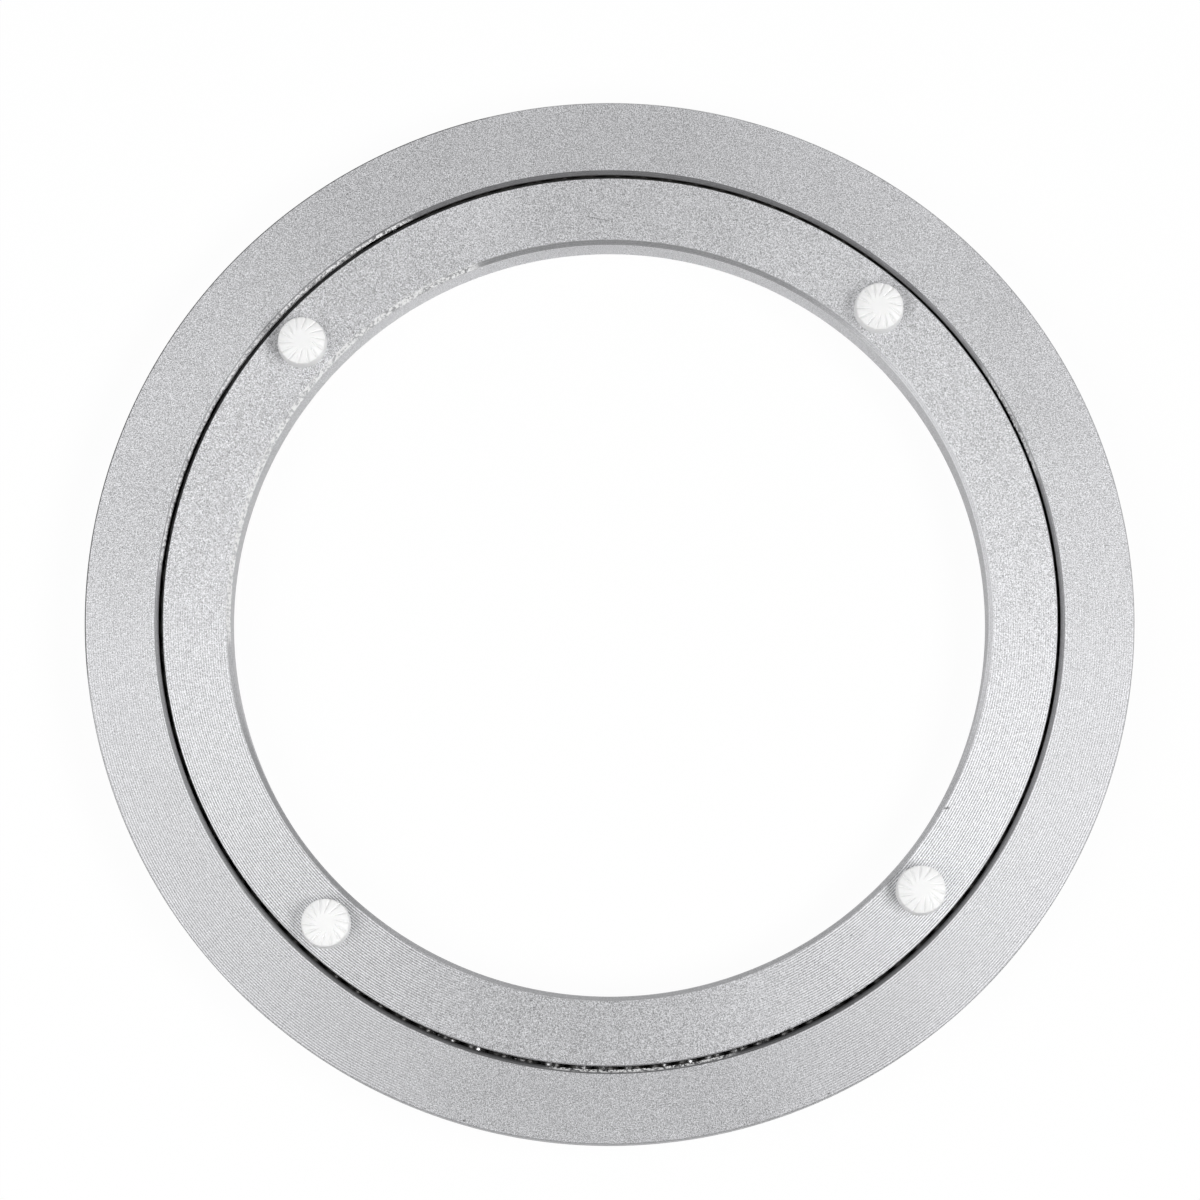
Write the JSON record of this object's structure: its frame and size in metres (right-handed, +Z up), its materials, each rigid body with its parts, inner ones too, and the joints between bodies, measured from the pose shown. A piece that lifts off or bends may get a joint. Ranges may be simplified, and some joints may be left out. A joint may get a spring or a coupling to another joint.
{
  "type": "lazy susan bearing",
  "caption": "Flat turntable bearing: two concentric satin aluminium rings turn on a ring of steel balls, with white ribbed pads on the inner ring that carry the turntable top.",
  "frame": {"origin": "centre of the outer ring's underside, on the turning axis", "axes": "+Z up along the turning axis, towards the pads; -Y is the side nearest the camera in the picture"},
  "size_m": [0.2, 0.2, 0.0152],
  "materials": {
    "satin_aluminium": "satin anodised, turned in fine rings",
    "bearing_steel": "polished, lightly greased",
    "screw_steel": "plain",
    "white_plastic": "moulded, soft sheen"
  },
  "bodies": {
    "outer": {"outer_ring": "satin_aluminium", "filler_screw": "screw_steel"},
    "inner": {"inner_ring": "satin_aluminium", "pad_back_right": "white_plastic", "pad_back_left": "white_plastic", "pad_front_left": "white_plastic", "pad_front_right": "white_plastic"},
    "balls": {"bearing_balls": "bearing_steel"}
  },
  "joints": [
    {"name": "ring_turn", "type": "hinge", "parent": "outer", "child": "inner", "pos_m": [0, 0, 0.0055], "axis": [0, 0, 1], "continuous": true},
    {"name": "ball_orbit", "type": "hinge", "parent": "outer", "child": "balls", "pos_m": [0, 0, 0.0055], "axis": [0, 0, 1], "continuous": true}
  ],
  "couplings": [
    {"joint": "ball_orbit", "follows": "ring_turn", "ratio": 0.4854}
  ]
}
